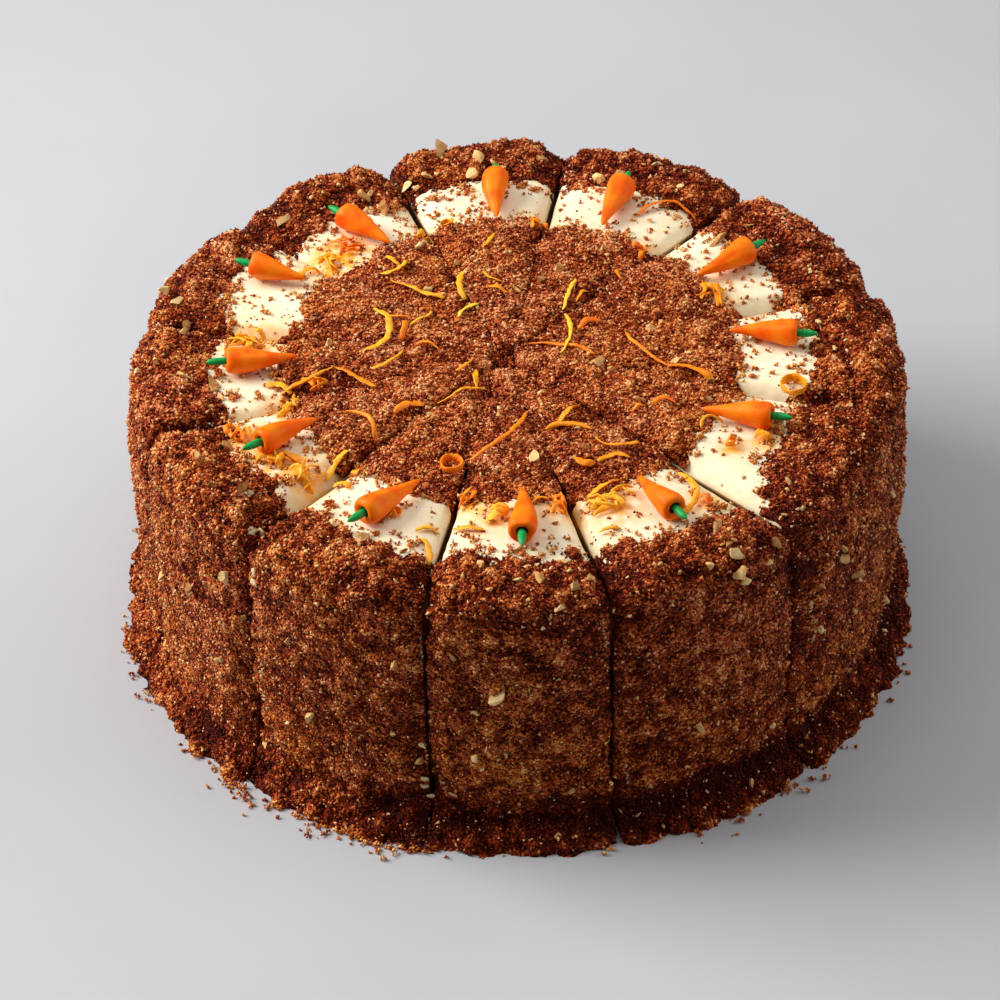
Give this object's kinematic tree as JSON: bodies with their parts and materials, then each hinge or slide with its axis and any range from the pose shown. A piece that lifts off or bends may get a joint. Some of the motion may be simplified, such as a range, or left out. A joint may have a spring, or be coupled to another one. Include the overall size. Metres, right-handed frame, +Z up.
{
  "type": "carrot cake",
  "caption": "Round layer cake cut into slices that stand together, cream ring on top, crumbs over side and centre, a small sugar carrot on each slice.",
  "frame": {"origin": "middle of the bounding box, at the level that the cake stands on", "axes": "+Z up; -Y towards the front slice, slice_00; the slices are numbered counter-clockwise from above"},
  "size_m": [0.2724, 0.274, 0.1078],
  "materials": {
    "sponge": "matte open crumb",
    "cream": "satin",
    "crumbs": "matte, coarse crumbs",
    "sugar_carrot": "satin sugar paste",
    "stalk": "satin sugar paste",
    "walnut": "matte chopped nut",
    "zest": "moist peel"
  },
  "bodies": {
    "root": {"slice_00_sponge": "sponge", "slice_00_cream": "cream", "slice_00_crumb_coat": "crumbs", "slice_00_crumb_carpet": "crumbs", "carrot_00": "sugar_carrot", "slice_01_sponge": "sponge", "slice_01_cream": "cream", "slice_01_crumb_coat": "crumbs", "slice_01_crumb_carpet": "crumbs", "carrot_01": "sugar_carrot", "slice_02_sponge": "sponge", "slice_02_cream": "cream", "slice_02_crumb_coat": "crumbs", "slice_02_crumb_carpet": "crumbs", "carrot_02": "sugar_carrot", "slice_03_sponge": "sponge", "slice_03_cream": "cream", "slice_03_crumb_coat": "crumbs", "slice_03_crumb_carpet": "crumbs", "carrot_03": "sugar_carrot", "slice_04_sponge": "sponge", "slice_04_cream": "cream", "slice_04_crumb_coat": "crumbs", "slice_04_crumb_carpet": "crumbs", "carrot_04": "sugar_carrot", "slice_05_sponge": "sponge", "slice_05_cream": "cream", "slice_05_crumb_coat": "crumbs", "slice_05_crumb_carpet": "crumbs", "carrot_05": "sugar_carrot", "slice_06_sponge": "sponge", "slice_06_cream": "cream", "slice_06_crumb_coat": "crumbs", "slice_06_crumb_carpet": "crumbs", "carrot_06": "sugar_carrot", "slice_07_sponge": "sponge", "slice_07_cream": "cream", "slice_07_crumb_coat": "crumbs", "slice_07_crumb_carpet": "crumbs", "carrot_07": "sugar_carrot", "slice_08_sponge": "sponge", "slice_08_cream": "cream", "slice_08_crumb_coat": "crumbs", "slice_08_crumb_carpet": "crumbs", "carrot_08": "sugar_carrot", "slice_09_sponge": "sponge", "slice_09_cream": "cream", "slice_09_crumb_coat": "crumbs", "slice_09_crumb_carpet": "crumbs", "carrot_09": "sugar_carrot", "slice_10_sponge": "sponge", "slice_10_cream": "cream", "slice_10_crumb_coat": "crumbs", "slice_10_crumb_carpet": "crumbs", "carrot_10": "sugar_carrot", "slice_11_sponge": "sponge", "slice_11_cream": "cream", "slice_11_crumb_coat": "crumbs", "slice_11_crumb_carpet": "crumbs", "carrot_11": "sugar_carrot"}
  },
  "joints": []
}
